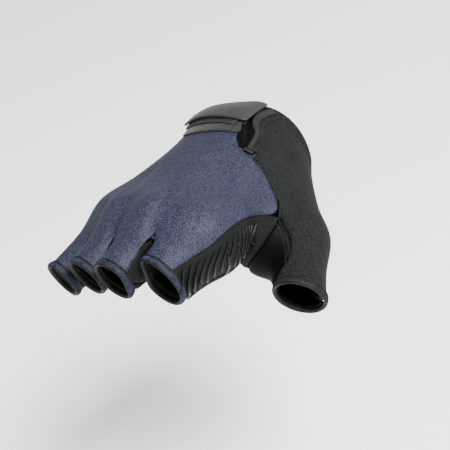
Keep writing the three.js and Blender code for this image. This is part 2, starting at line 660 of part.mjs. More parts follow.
// The back and the palm are one piece each: hand and four finger parts share the gap row
function addHandPanel(name, hand, side, wall, colour, tip) {
  const geometry = solidFromParts(hand, fingers.map((finger) => finger[side]), wall, tip);
  addPiece(name, geometry, colour);
}
function solidFromParts(hand, tongues, wall, tip) {
  const body = drawIn(hand, { bottom: true, left: true, right: true, top: false });
  const columns = body[0].length;
  const spots = [];
  const keys = new Map();
  const add = (key, spot) => {
    if (!keys.has(key)) {
      keys.set(key, spots.length);
      spots.push(spot);
    }
    return keys.get(key);
  };
  const quads = [];
  for (let column = fingerColumns; column < columns - 1; column += fingerColumns) {
    const spot = body.at(-1)[column];
    const back = body.at(-2)[column].point.clone().sub(spot.point).setLength(webSetback * clearance);
    body.at(-1)[column] = { point: settle(spot.point.clone().add(back), wholeForm), out: spot.out };
  }
  body.forEach((line, row) => line.forEach((spot, column) => add(`${row} ${column}`, spot)));
  for (let row = 0; row < body.length - 1; row += 1) {
    for (let column = 0; column < columns - 1; column += 1) {
      quads.push([[row, column], [row, column + 1], [row + 1, column + 1], [row + 1, column]]
        .map(([r, c]) => keys.get(`${r} ${c}`)));
    }
  }
  if (tip) {
    const inner = hand[tip.row].at(-1);
    body[tip.row][columns - 1] = inner;
    spots[keys.get(`${tip.row} ${columns - 1}`)] = inner;
    const drawn = { point: mix(tip.spot.point, inner.point, cornerShare), out: tip.spot.out };
    quads.push([keys.get(`${tip.row} ${columns - 1}`), keys.get(`${tip.row - 1} ${columns - 1}`),
      add("tip", drawn), keys.get(`${tip.row + 1} ${columns - 1}`)]);
  }
  const last = body.length - 1;
  tongues.forEach((tongue, index) => {
    const drawn = drawIn(tongue, { bottom: false, left: true, right: true, top: true });
    const key = (row, column) =>
      (row === 0 ? `${last} ${index * fingerColumns + column}` : `${index} ${row} ${column} finger`);
    drawn.forEach((line, row) => line.forEach((spot, column) => add(key(row, column), spot)));
    for (let row = 0; row < fingerRows; row += 1) {
      for (let column = 0; column < fingerColumns; column += 1) {
        quads.push([[row, column], [row, column + 1], [row + 1, column + 1], [row + 1, column]]
          .map(([r, c]) => keys.get(key(r, c))));
      }
    }
  });
  return solidFromQuads(spots, quads, wall);
}

// Closed solid of a patchwork of quads: skin, lifted copy and rims along open edges
function solidFromQuads(spots, quads, wall) {
  const count = spots.length;
  const positions = [];
  spots.forEach((spot) => positions.push(...spot.point.toArray()));
  spots.forEach((spot) => positions.push(...spot.point.clone().addScaledVector(spot.out, wall).toArray()));
  const faces = [];
  const quad = (a, b, c, d) => faces.push(a, b, c, a, c, d);
  const open = new Map();
  for (const corners of quads) {
    quad(...corners.map((corner) => corner + count));
    quad(...corners.slice().reverse());
    corners.forEach((corner, index) => {
      const next = corners[(index + 1) % 4];
      if (!open.delete(`${next} ${corner}`)) open.set(`${corner} ${next}`, [corner, next]);
    });
  }
  for (const [start, end] of open.values()) quad(start, end, end + count, start + count);
  const geometry = new THREE.BufferGeometry();
  geometry.setAttribute("position", new THREE.Float32BufferAttribute(positions, 3));
  geometry.setIndex(signedVolume(positions, faces) > 0 ? faces : faces.reverse());
  geometry.computeVertexNormals();
  return geometry;
}

// Hems: a band round each opening
function hemRing(bone, start, form) {
  const length = bone.to.distanceTo(bone.from);
  const gapShare = clearance / 2 / length;
  const shares = [start + gapShare, start + hem.width / length];
  const turns = turnsBetween(0, 360 - 360 / hemColumns, hemColumns - 1);
  const rows = shares.map((share) => turns.map((turn) => {
    const spot = tubeSpot(bone, share, turn, form);
    if (bone.name !== "thumb") spot.point = keepApart(bone, spot.point, 1, hem.thick + clearance / 2);
    return spot;
  }));
  return solidFromGrids(lifted(rows, 0), lifted(rows, hem.thick), true);
}

addHandPanel("back_panel", backGrid, "back", wallOf.navy, 0x4a5270, { row: half, spot: thumbCorner });
addHandPanel("palm_panel", palmGrid, "palm", wallOf.leather, 0x202124);
addPanel("thumb_panel", drawIn(knitGrid, allEdges, () => clearance), wallOf.knit, 0x2b2c2e);
addPanel("thumb_gusset", drawIn(gussetGrid), wallOf.gusset, 0x26272a);
const forkInset = (share) => clearance * (1 + forkNarrow * Math.max(0, 1 - Math.abs(share - 0.5) * 3));
fingers.slice(1).forEach((finger, index) => {
  const low = fingers[index];
  const grid = drawIn(forkGrid(low, finger), allEdges, forkInset);
  addPanel(`side_strip_${low.name}_${finger.name}`, grid, wallOf.fork, 0x1d1e20);
});
for (const finger of fingerTable) {
  const form = fingerForm(finger.name, 1);
  addPiece(`hem_${finger.name}`, hemRing(boneNamed(finger.name), finger.start, form), 0x23283a);
}
addPiece("hem_thumb", hemRing(thumbBone, thumbEdge.start, thumbForm), 0x232427);

// Wrist edge: a folded band with its own gap to the panels
const wristTurns = turnsBetween(0, 360 - 360 / wristColumns, wristColumns - 1);
const wristRows = [-binding.width, 0].map((y) => wristTurns.map((degrees) =>
  atStation(fromChart(new THREE.Vector3(radians(degrees), y, 0), wholeForm), y, wholeForm)));
const wristBand = solidFromGrids(lifted(wristRows, 0), lifted(wristRows, binding.thick), true);
addPiece("wrist_binding", wristBand, 0x1b1c1f);

// Layers on the back of the wrist
function smoothTable(table, names, count) {
  const spread = (name) => new THREE.CatmullRomCurve3(table.map((row) => new THREE.Vector3(row[name], 0, 0)));
  const curves = names.map(spread);
  return Array.from({ length: count + 1 }, (unused, index) =>
    Object.fromEntries(names.map((name, order) => [name, curves[order].getPoint(index / count).x])));
}
function addLayer(name, layer, colour) {
  const names = ["startTurn", "startY", "endTurn", "endY", "rise"];
  const stations = smoothTable(layer.table, names, layer.columns);
  const grid = (height) => stations.map((station) =>
    Array.from({ length: layer.rows + 1 }, (unused, index) => {
      const share = index / layer.rows;
      const turn = radians(station.startTurn + (station.endTurn - station.startTurn) * share);
      const y = (station.startY + (station.endY - station.startY) * share) * handSize / 100;
      const spot = place(fromChart(new THREE.Vector3(turn, y, 0), wholeForm), wholeForm);
      return spot.point.addScaledVector(spot.out, wallOf.navy + station.rise + height);
    }));
  addPiece(name, solidFromGrids(grid(0), grid(layer.thick)), colour);
}
addLayer("loop_patch", loopPatch, 0x191a1c);
addLayer("hook_pad", hookPad, 0x101113);
addLayer("closure_strap", closureStrap, 0x2a2c2d);
addLayer("slit_gusset", slitGusset, 0x232526);

// A ribbon laid on the outside along a course, with a width to each side
function ribbonSolid(spots, widths, low, thick) {
  const rows = [-1, 0, 1].map((side) => spots.map((spot, index) => {
    const before = spots[Math.max(index - 1, 0)].point;
    const after = spots[Math.min(index + 1, spots.length - 1)].point;
    const across = after.clone().sub(before).cross(spot.out).normalize();
    const { left, right } = widths(index / (spots.length - 1));
    const middle = (right - left) / 2;
    const offset = side < 0 ? left : side > 0 ? -right : -middle;
    return { point: spot.point.clone().addScaledVector(across, offset), out: spot.out };
  }));
  return solidFromGrids(lifted(rows, low), lifted(rows, low + thick));
}
const slitCourse = course(seamTable.slit.slice(0, 4), tapeColumns, wholeForm);
slitCourse[0] = { ...slitCourse[0], point: mix(slitCourse[0].point, slitCourse[1].point, slitTape.setback) };
const tapeWidth = (share) => ({
  left: mixNumber(...slitTape.left, THREE.MathUtils.smoothstep(share, ...slitTape.narrowing)),
  right: slitTape.right,
});
const tapeLow = wallOf.navy + clearance;
addPiece("slit_binding", ribbonSolid(slitCourse, tapeWidth, tapeLow, slitTape.thick), 0x1f2122);
const tackSpots = course(seamTable.tack, tackColumns, wholeForm);
const tackWidth = () => ({ left: tack.width / 2, right: tack.width / 2 });
addPiece("bar_tack", ribbonSolid(tackSpots, tackWidth, tapeLow, tack.thick), 0x17181a);

// Grip ribs on the palm side, by column and row of the palm panel
function palmSpot(column, row) {
  const left = clamp(Math.floor(column), 0, handColumns - 1);
  const low = clamp(Math.floor(row), 0, handRows - 1);
  const [across, along] = [column - left, row - low];
  const blend = (name) => {
    const first = mix(palmGrid[low][left][name], palmGrid[low][left + 1][name], across);
    const second = mix(palmGrid[low + 1][left][name], palmGrid[low + 1][left + 1][name], across);
    return mix(first, second, along);
  };
  return { point: blend("point"), out: blend("out").normalize() };
}
ribTable.forEach((rib, index) => {
  const spots = Array.from({ length: ribColumns + 1 }, (unused, step) => {
    const share = step / ribColumns;
    const column = rib.column[0] + (rib.column[1] - rib.column[0]) * share;
    const row = rib.row[0] + (rib.row[1] - rib.row[0]) * share + rib.bend * Math.sin(Math.PI * share);
    return palmSpot(column, row);
  });
  const width = (share) => {
    const side = ribSize.width / 2 * mixNumber(ribSize.taper, 1, Math.sin(Math.PI * share) ** 0.5);
    return { left: side, right: side };
  };
  const number = String(index + 1).padStart(2, "0");
  const low = wallOf.leather + clearance + ribSize.rise;
  addPiece(`grip_rib_${number}`, ribbonSolid(spots, width, low, ribSize.thick), 0x0d0d0f);
});

export default group;
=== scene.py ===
import math
import bpy
import bmesh
import numpy as np
from mathutils import Matrix, Vector
from mathutils.bvhtree import BVHTree
from mathutils.kdtree import KDTree


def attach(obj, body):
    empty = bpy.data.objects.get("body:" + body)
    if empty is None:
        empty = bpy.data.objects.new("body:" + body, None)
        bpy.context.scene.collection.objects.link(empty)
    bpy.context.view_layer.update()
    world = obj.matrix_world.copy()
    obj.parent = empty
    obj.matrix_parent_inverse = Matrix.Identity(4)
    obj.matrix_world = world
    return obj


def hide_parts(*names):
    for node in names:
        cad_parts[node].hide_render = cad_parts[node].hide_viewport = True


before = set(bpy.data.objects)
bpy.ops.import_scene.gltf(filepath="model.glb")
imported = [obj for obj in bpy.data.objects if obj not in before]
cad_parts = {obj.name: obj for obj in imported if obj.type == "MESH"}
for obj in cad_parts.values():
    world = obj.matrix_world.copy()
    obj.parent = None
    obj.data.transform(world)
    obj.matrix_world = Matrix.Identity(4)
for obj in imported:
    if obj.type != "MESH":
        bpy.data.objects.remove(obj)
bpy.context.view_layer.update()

mm = 0.001
scene = bpy.context.scene
print("frame loaded")

# The worn shape under the cloth, the same rounded bones as the solids: start, end and the radius at each,
# in mm
wornShape = {
    "softness": 4.0,
    "bones": {
        "wristRadial": ((10, 18, -1), (10, -10, -2), 18.5, 18),
        "wristUlnar": ((-11, 18, -1), (-11, -10, -2.5), 18, 17),
        "indexHand": ((13, -18, -1), (26, -91, -1), 15.5, 12.4),
        "middleHand": ((3, -18, 0.5), (5, -94, 2), 16, 12.8),
        "ringHand": ((-7, -18, -0.5), (-15, -88, -0.5), 15.5, 11.8),
        "littleHand": ((-14, -18, -4), (-31, -78, -6), 13, 10.4),
        "heel": ((-16, -21, -10), (-28, -68, -10), 11.5, 10.3),
        "palmPad": ((25, -86, -10), (-18, -82, -9), 10.3, 10),
        "thumbBall": ((20, -12, -12), (47, -49, -28), 13.2, 11.8),
        "thumbInner": ((6, -22, -14), (34, -58, -28), 12, 11),
        "web": ((27, -36, -10), (36.5, -56.5, -18.5), 11, 8.5),
        "thumb": ((47, -49, -28), (64.5, -84, -45.5), 11.8, 10.4),
        "little": ((-31, -78, -7), (-48.5, -120, -22.5), 9.4, 8.2),
        "ring": ((-15, -88, -1), (-28.2, -131, -16.5), 10.2, 8.8),
        "middle": ((4, -94, 2), (-6, -141, -12.5), 10.8, 9),
        "index": ((23, -91, -2), (12.5, -133.5, -13.5), 11, 9.3),
        "indexPad": ((27, -84, -8), (19, -116, -13), 8.6, 7.6),
    },
}


def boneReach(points, bone):
    start, end = np.array(bone[0], float), np.array(bone[1], float)
    length = end - start
    share = np.clip((points - start) @ length / (length @ length), 0, 1)
    core = start + share[:, None] * length
    arm = points - core
    gap = np.linalg.norm(arm, axis=1) - (bone[2] + (bone[3] - bone[2]) * share)
    return gap, arm


def formDistance(points):
    gaps = np.array([boneReach(points, bone)[0] for bone in wornShape["bones"].values()])
    least = gaps.min(axis=0)
    return least - wornShape["softness"] * np.log(np.exp((least - gaps) / wornShape["softness"]).sum(axis=0))


def formSlope(points):
    step = 0.05
    sides = [formDistance(points + step * axis) - formDistance(points - step * axis) for axis in np.eye(3)]
    return np.array(sides).T / (2 * step)


# Outward direction, judged from the nearest bone, so that cloth between two fingers counts for its own finger
def awayFromBone(points):
    reach = [boneReach(points, bone) for bone in wornShape["bones"].values()]
    nearest = np.array([gap for gap, arm in reach]).argmin(axis=0)
    arms = np.array([arm for gap, arm in reach])[nearest, np.arange(len(points))]
    return arms / np.linalg.norm(arms, axis=1)[:, None]


# How far a point lies out on its finger: 0 on the hand, 1 from the middle of the finger part on
fingerPart = {"names": ("little", "ring", "middle", "index"), "start": 0.2, "blend": 0.2, "room": 15}


def fingerShare(points):
    share = np.zeros(len(points))
    for name in fingerPart["names"]:
        start, end = (np.array(place, float) for place in wornShape["bones"][name][:2])
        along = (points - start) @ (end - start) / ((end - start) @ (end - start))
        across = np.linalg.norm(points - start - along[:, None] * (end - start), axis=1)
        risen = np.clip((along - fingerPart["start"]) / fingerPart["blend"], 0, 1)
        share = np.maximum(share, risen * (across < fingerPart["room"]))
    return share


# Points brought to a height above the form; held says how far each point stays where it is
def laid(points, height, rounds=4, limit=3.0, held=None):
    points = np.array(points, float)
    for _ in range(rounds):
        slope = formSlope(points)
        lift = (formDistance(points) - height) / (slope * slope).sum(axis=1)
        if held:
            lift *= 1 - held(points)
        points -= slope * np.clip(lift, -limit, limit)[:, None]
    return points


# An even, smooth path through a few points (a Catmull-Rom curve), lying at a height above the form
def pathOn(marks, count, height):
    marks = np.array(marks, float)
    padded = np.vstack([2 * marks[0] - marks[1], marks, 2 * marks[-1] - marks[-2]])
    fine, between = [], 24
    for i in range(1, len(padded) - 2):
        a, b, c, d = padded[i - 1:i + 3]
        for t in np.linspace(0, 1, between, endpoint=False):
            fine.append(0.5 * (2 * b + (c - a) * t + (2 * a - 5 * b + 4 * c - d) * t ** 2
                               + (3 * b - a - 3 * c + d) * t ** 3))
    fine = laid(fine + [marks[-1]], height)
    reach = np.concatenate([[0], np.cumsum(np.linalg.norm(np.diff(fine, axis=0), axis=1))])
    steps = np.linspace(0, reach[-1], count + 1)
    return np.array([np.interp(steps, reach, fine[:, axis]) for axis in range(3)]).T


# The direction across a path, along the surface of the form
def acrossOf(path):
    slope = formSlope(path)
    tangent = np.gradient(path, axis=0)
    across = np.cross(tangent, slope)
    return across / np.linalg.norm(across, axis=1)[:, None]


def meshPoints(mesh):
    points = np.empty(len(mesh.vertices) * 3)
    mesh.vertices.foreach_get("co", points)
    return points.reshape(-1, 3)


def movePoints(mesh, points):
    mesh.vertices.foreach_set("co", np.ascontiguousarray(points, dtype=np.float64).ravel())
    mesh.update()


def pointNormals(mesh):
    normals = np.empty(len(mesh.vertices) * 3)
    mesh.vertices.foreach_get("normal", normals)
    return normals.reshape(-1, 3)


def addPiece(name, mesh, material, slot, *nodes):
    piece = bpy.data.objects.new(name, mesh)
    scene.collection.objects.link(piece)
    mesh.materials.clear()
    mesh.materials.append(material)
    mesh.polygons.foreach_set("use_smooth", [True] * len(mesh.polygons))
    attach(piece, "root")
    if nodes:
        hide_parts(*nodes)
    return piece


def meshFrom(bm, name):
    mesh = bpy.data.meshes.new(name)
    bm.to_mesh(mesh)
    bm.free()
    return mesh


# The mesh that a scratch object's modifiers or curve settings make of it
def finishedMesh(holder, name):
    bpy.context.view_layer.update()
    made = holder.evaluated_get(bpy.context.evaluated_depsgraph_get())
    mesh = bpy.data.meshes.new_from_object(made)
    bpy.data.objects.remove(holder)
    mesh.name = name
    return mesh


def subdivided(bm, name, levels, corners=True):
    holder = bpy.data.objects.new(name, meshFrom(bm, name))
    scene.collection.objects.link(holder)
    smooth = holder.modifiers.new("smooth", "SUBSURF")
    smooth.levels = levels
    smooth.render_levels = levels
    smooth.boundary_smooth = "PRESERVE_CORNERS" if corners else "ALL"
    return finishedMesh(holder, name)


# How the outer faces of a solid are told from the rest: merge and probe are lengths in mm, leastFacing is a
# cosine, and the wall's inner side has to lie within depthInWalls walls
picking = {"merge": 0.02, "leastFacing": -0.2, "probe": 0.05, "depthInWalls": 1.7}


def mergedSolid(node):
    bm = bmesh.new()
    bm.from_mesh(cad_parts[node].data)
    bmesh.ops.remove_doubles(bm, verts=bm.verts, dist=picking["merge"] * mm)
    return bm


def joinTriangles(bm):
    bmesh.ops.join_triangles(bm, faces=bm.faces, angle_face_threshold=math.pi, angle_shape_threshold=math.pi)


# The faces of one side of a solid: spread from the face that looks outward most, stopping at sharp edges
def outerFaces(bm, limit):
    centres = np.array([face.calc_center_median() for face in bm.faces])
    outwards = awayFromBone(centres / mm)
    facing = [face.normal.dot(Vector(outward)) for face, outward in zip(bm.faces, outwards)]
    first = max(bm.faces, key=lambda face: facing[face.index] + centres[face.index][2])
    found, queue = {first}, [first]
    while queue:
        face = queue.pop()
        for edge in face.edges:
            for other in edge.link_faces:
                outer = facing[other.index] > picking["leastFacing"]
                if other not in found and face.normal.dot(other.normal) > limit and outer:
                    found.add(other)
                    queue.append(other)
    return found


# A merged copy of a solid, without the rims and the inner side of its wall
def outerSkin(node, cloth):
    bm = mergedSolid(node)
    bm.faces.ensure_lookup_table()
    if "spread" in cloth:
        wanted = outerFaces(bm, cloth["spread"])
    else:
        tree = BVHTree.FromBMesh(bm)
        outwards = awayFromBone(np.array([face.calc_center_median() for face in bm.faces]) / mm)
        wanted = set()
        for face, outward in zip(bm.faces, outwards):
            start = face.calc_center_median() - face.normal * picking["probe"] * mm
            depth = tree.ray_cast(start, -face.normal)[3]
            deepest = picking["depthInWalls"] * cloth["wall"] * mm
            if depth and depth < deepest and face.normal.dot(Vector(outward)) > 0:
                wanted.add(face)
    bmesh.ops.delete(bm, geom=[face for face in bm.faces if face not in wanted], context="FACES")
    joinTriangles(bm)
    return bm


# Evening of the laid cloth: rounds, the share of the way moved in each, how many border points ahead a corner
# is looked for, and the largest cosine between its arms at which the border still counts as smooth
evening = {"borderRounds": 24, "rounds": 60, "pull": 0.6, "sight": 6, "corner": -0.1}


# Border points evened along the border, where it makes no sharp corner
def evenedBorder(mesh, points):
    beside = {}
    bm = bmesh.new()
    bm.from_mesh(mesh)
    for edge in bm.edges:
        if edge.is_boundary:
            first, second = (vert.index for vert in edge.verts)
            beside.setdefault(first, []).append(second)
            beside.setdefault(second, []).append(first)
    bm.free()
    ring = np.array([index for index, near in beside.items() if len(near) == 2])
    before, after = np.array([beside[index] for index in ring]).T
    farBefore, farAfter = before.copy(), after.copy()
    lookup = {index: beside[index] for index in ring}
    for order, index in enumerate(ring):
        for ahead, store in ((0, farBefore), (1, farAfter)):
            last, here = index, beside[index][ahead]
            for _ in range(evening["sight"]):
                near = [other for other in lookup.get(here, [here]) if other != last]
                last, here = here, near[0] if near else here
            store[order] = here
    arms = [points[farBefore] - points[ring], points[farAfter] - points[ring]]
    arms = [arm / np.maximum(np.linalg.norm(arm, axis=1), 1e-6)[:, None] for arm in arms]
    free = ((arms[0] * arms[1]).sum(axis=1) < evening["corner"]) * (1 - fingerShare(points[ring]))
    for _ in range(evening["borderRounds"]):
        middle = (points[before] + points[after]) / 2
        points[ring] += (middle - points[ring]) * (evening["pull"] * free)[:, None]
    return points


# Points evened out between their neighbours, those on the border and on the fingers left where they are
def evened(mesh, points):
    pairs = np.array([edge.vertices[:] for edge in mesh.edges])
    count = np.bincount(pairs.ravel(), minlength=len(points))
    free = 1 - fingerShare(points)
    free[borderOf(mesh)] = 0
    for _ in range(evening["rounds"]):
        total = np.zeros_like(points)
        for axis in range(3):
            total[:, axis] = (np.bincount(pairs[:, 0], points[pairs[:, 1], axis], len(points))
                              + np.bincount(pairs[:, 1], points[pairs[:, 0], axis], len(points)))
        points = points + (total / count[:, None] - points) * (evening["pull"] * free)[:, None]
    return points


# Knuckles and folds: start, end, radius and height (below zero for a dent), in mm
creases = [
    ((24.5, -62, 14.5), (27.5, -76, 13.5), 8.5, -2.6),
    ((-21, -62, 13), (-15.5, -92, 14), 6, -1.6),
    ((-11, -92, 13), (-13, -110, 5), 3.6, -1.8),
    ((-28, -88, 8), (-30, -105, -1), 3, -1.3),
    ((9.5, -90, 16), (12, -108, 10), 4.2, -1.6),
    ((5, -92, 16), (4, -98, 15), 6, 0.9),
    ((22, -88, 13), (21, -98, 12), 6, 0.8),
    ((-14.5, -86, 14), (-17, -93, 13), 4, 0.6),
    ((19.5, -45.5, 16.5), (12, -52, 18), 1.6, -0.5),
    ((27, -62, 13), (19, -55, 15.5), 9, -1.3),
    ((36, -60, 0), (28, -72, 11), 3, -0.6),
    ((38, -72, 1), (34, -84, 7), 4, 0.5),
]


def creaseHeight(points):
    total = np.zeros(len(points))
    for start, end, radius, height in creases:
        start, end = np.array(start, float), np.array(end, float)
        share = np.clip((points - start) @ (end - start) / ((end - start) @ (end - start)), 0, 1)
        distance = np.linalg.norm(points - start - share[:, None] * (end - start), axis=1)
        total += height * np.exp(-(distance / radius) ** 2)
    return total


# Cloth on the hand: a fine skin laid on the worn shape, its border turned down into the seam
def clothMesh(node, cloth):
    mesh = subdivided(outerSkin(node, cloth), node, cloth["levels"], cloth.get("corners", True))
    points = meshPoints(mesh) / mm
    if cloth.get("laid", True):
        points = evened(mesh, evenedBorder(mesh, points))
        points = laid(points, cloth["wall"], 3, 1.5, fingerShare)
        movePoints(mesh, points * mm)
    if cloth.get("creased"):
        points = points + pointNormals(mesh) * creaseHeight(points)[:, None]
        movePoints(mesh, points * mm)
    turnDown(mesh, points, cloth)
    outward = awayFromBone(meshPoints(mesh) / mm)
    if (pointNormals(mesh) * outward).sum() < 0:
        mesh.flip_normals()
    return mesh


def borderOf(mesh):
    bm = bmesh.new()
    bm.from_mesh(mesh)
    border = [vert.index for vert in bm.verts if vert.is_boundary]
    bm.free()
    return border


def spotOf(vert):
    return tuple(round(value / mm, 4) for value in vert.co)


# The border rounded off downwards, and a narrow seam allowance added that runs on under the neighbour
def turnDown(mesh, points, cloth):
    border = borderOf(mesh)
    tree = KDTree(len(border))
    for order, index in enumerate(border):
        tree.insert(points[index], order)
    tree.balance()
    distance = np.array([tree.find(point)[2] for point in points])
    near = np.clip(1 - distance / cloth["seamWidth"], 0, 1)
    points = points - pointNormals(mesh) * (cloth["seamDepth"] * near ** 2)[:, None]
    movePoints(mesh, points * mm)
    if "allowance" not in cloth:
        return
    outward, down = cloth["allowance"]
    bm = bmesh.new()
    bm.from_mesh(mesh)
    rim = [edge for edge in bm.edges if edge.is_boundary]
    shift, sink = {}, {}
    for edge in rim:
        face = edge.link_faces[0]
        middle = (edge.verts[0].co + edge.verts[1].co) / 2
        away = (middle - face.calc_center_median()).normalized()
        for vert in edge.verts:
            shift[spotOf(vert)] = shift.get(spotOf(vert), Vector()) + away
            sink[spotOf(vert)] = vert.normal * down * mm
    added = bmesh.ops.extrude_edge_only(bm, edges=rim)["geom"]
    for vert in (item for item in added if isinstance(item, bmesh.types.BMVert)):
        spot = spotOf(vert)
        vert.co += shift[spot].normalized() * outward * mm - sink[spot]
    bm.to_mesh(mesh)
    bm.free()


def thicken(piece, wall):
    solid = piece.modifiers.new("wall", "SOLIDIFY")
    solid.thickness = wall * mm
    solid.offset = -1


# Colours are given as hex sRGB
def linearColour(code):
    values = [int(code[i:i + 2], 16) / 255 for i in (1, 3, 5)]
    return [v / 12.92 if v < 0.04045 else ((v + 0.055) / 1.055) ** 2.4 for v in values] + [1.0]


def addNode(tree, kind, settings=None, links=None):
    node = tree.nodes.new(kind)
    for name, value in (settings or {}).items():
        if isinstance(name, int) or name in node.inputs:
            node.inputs[name].default_value = value
        else:
            setattr(node, name, value)
    for name, socket in (links or {}).items():
        tree.links.new(socket, node.inputs[name])
    return node


# The band texture has a built-in factor, which its scale is divided by to get the weave's pitch
bandFactor = 20


# Every material has one build-up: two colours mixed by a fine grain and a soft blotch, and a bump from the
# grain and the weave
def clothMaterial(name, finish):
    material = bpy.data.materials.new(name)
    material.use_nodes = True
    tree = material.node_tree
    shader = tree.nodes["Principled BSDF"]
    place = addNode(tree, "ShaderNodeTexCoord").outputs["Object"]
    fine = {"Scale": 1 / (finish["grain"] * mm), "Detail": 2.0, "Roughness": 0.6}
    grain = addNode(tree, "ShaderNodeTexNoise", fine, {"Vector": place}).outputs["Fac"]
    coarse = {"Scale": 1 / (finish["blotch"] * mm), "Detail": 3.0}
    blotch = addNode(tree, "ShaderNodeTexNoise", coarse, {"Vector": place}).outputs["Fac"]
    blend = addNode(tree, "ShaderNodeMath", {"operation": "MULTIPLY_ADD", 1: finish["blotchShare"]},
                    {0: blotch, 2: grain}).outputs[0]
    spread = addNode(tree, "ShaderNodeMapRange", {"From Min": finish["from"], "From Max": finish["to"]},
                     {"Value": blend}).outputs["Result"]
    colour = addNode(tree, "ShaderNodeMix", {"data_type": "RGBA"}, {0: spread})
    colour.inputs[6].default_value = linearColour(finish["dark"])
    colour.inputs[7].default_value = linearColour(finish["light"])
    tree.links.new(colour.outputs[2], shader.inputs["Base Color"])
    shader.inputs["Roughness"].default_value = finish["roughness"]
    shader.inputs["Sheen Weight"].default_value = finish.get("sheen", 0)
    shader.inputs["Sheen Roughness"].default_value = 0.4
    shader.inputs["Specular IOR Level"].default_value = finish["specular"]
    height = grain
    if "weave" in finish:
        pitchScale = 1 / (finish["weave"] * mm) / bandFactor
        wave = {"wave_type": "BANDS", "Scale": pitchScale, "Distortion": 1.2, "Detail": 1.0}
        warp, weft = (addNode(tree, "ShaderNodeTexWave", {**wave, "bands_direction": way}, {"Vector": place})
                      for way in ("X", "Y"))
        crossed = {0: warp.outputs["Fac"], 1: weft.outputs["Fac"]}
        weave = addNode(tree, "ShaderNodeMath", {"operation": "MULTIPLY"}, crossed).outputs[0]
        height = addNode(tree, "ShaderNodeMath", {"operation": "ADD"}, {0: grain, 1: weave}).outputs[0]
    bump = addNode(tree, "ShaderNodeBump", {"Strength": finish["bump"], "Distance": finish["relief"] * mm},
                   {"Height": height})
    tree.links.new(bump.outputs["Normal"], shader.inputs["Normal"])
    return material


# Colours are mixed from dark to light between the blend values from and to; grain, blotch, weave and relief
# are in mm
finishes = {
    # polyamide and elastane jersey: navy, a fine shimmer of light and dark stitches
    "navyJersey": {"dark": "#04050a", "light": "#3a3e59", "from": 0.44, "to": 0.8,
                   "grain": 0.5, "blotch": 9, "blotchShare": 0.04, "weave": 0.8,
                   "roughness": 0.62, "specular": 0.2, "bump": 0.6, "relief": 0.25},
    # matt polyester knit: nearly black with small dull stitches
    "blackKnit": {"dark": "#010101", "light": "#272828", "from": 0.45, "to": 0.85,
                  "grain": 0.5, "blotch": 8, "blotchShare": 0.1, "weave": 0.9,
                  "roughness": 0.85, "specular": 0.12, "bump": 0.9, "relief": 0.3},
    # microfibre suede of the palm: black, a fine dull nap
    "palmSuede": {"dark": "#010101", "light": "#0c0d0d", "from": 0.45, "to": 0.84,
                  "grain": 0.7, "blotch": 12, "blotchShare": 0.4,
                  "roughness": 0.8, "specular": 0.12, "bump": 0.8, "relief": 0.15},
    # smooth elastic fabric: deep black and flat
    "smoothElastic": {"dark": "#010101", "light": "#040404", "from": 0.45, "to": 0.9,
                      "grain": 0.45, "blotch": 10, "blotchShare": 0.4, "weave": 0.5,
                      "roughness": 0.55, "specular": 0.04, "bump": 0.25, "relief": 0.12},
    # thin mesh of the strips between the fingers: black and matt
    "stripMesh": {"dark": "#020202", "light": "#0b0b0c", "from": 0.4, "to": 0.9,
                  "grain": 0.6, "blotch": 8, "blotchShare": 0.3, "weave": 0.9,
                  "roughness": 0.8, "specular": 0.15, "bump": 0.5, "relief": 0.3},
    # folded elastic tape: black satin rib
    "edgeTape": {"dark": "#040404", "light": "#191a1b", "from": 0.4, "to": 0.9,
                 "grain": 0.6, "blotch": 6, "blotchShare": 0.2, "weave": 0.6,
                 "roughness": 0.6, "specular": 0.2, "bump": 0.3, "relief": 0.15},
    # spun polyester sewing thread: navy
    "hemThread": {"dark": "#06080f", "light": "#262b40", "from": 0.7, "to": 1.1,
                  "grain": 0.9, "blotch": 2.5, "blotchShare": 0.8,
                  "roughness": 0.6, "specular": 0.15, "bump": 0.4, "relief": 0.12},
    # the same thread in black
    "blackThread": {"dark": "#020202", "light": "#141515", "from": 0.7, "to": 1.1,
                    "grain": 0.9, "blotch": 2.5, "blotchShare": 0.8,
                    "roughness": 0.6, "specular": 0.2, "bump": 0.4, "relief": 0.12},
    # strap face: calendered microfibre, charcoal, smooth and plain
    "strapFace": {"dark": "#0e100f", "light": "#282b2a", "from": 0.45, "to": 0.95,
                  "grain": 0.6, "blotch": 9, "blotchShare": 0.4, "sheen": 0.1,
                  "roughness": 0.55, "specular": 0.2, "bump": 0.25, "relief": 0.12},
    # brushed nylon loop pile: fuzzy and mottled black
    "loopPile": {"dark": "#040404", "light": "#232424", "from": 0.55, "to": 1.0,
                 "grain": 0.8, "blotch": 3, "blotchShare": 0.5, "sheen": 0.1,
                 "roughness": 0.95, "specular": 0.3, "bump": 1.0, "relief": 0.6},
    # moulded nylon hook field: dense, black, with small glints
    "hookField": {"dark": "#050506", "light": "#202122", "from": 0.5, "to": 1.0,
                  "grain": 0.7, "blotch": 3, "blotchShare": 0.5,
                  "roughness": 0.5, "specular": 0.3, "bump": 1.0, "relief": 0.6},
    # raised silicone print: nearly black, half gloss
    "gripSilicone": {"dark": "#020202", "light": "#060606", "from": 0.4, "to": 0.9,
                     "grain": 2, "blotch": 5, "blotchShare": 0.3,
                     "roughness": 0.36, "specular": 0.14, "bump": 0.1, "relief": 0.1},
}
materials = {name: clothMaterial(name, finish) for name, finish in finishes.items()}
print("materials made")

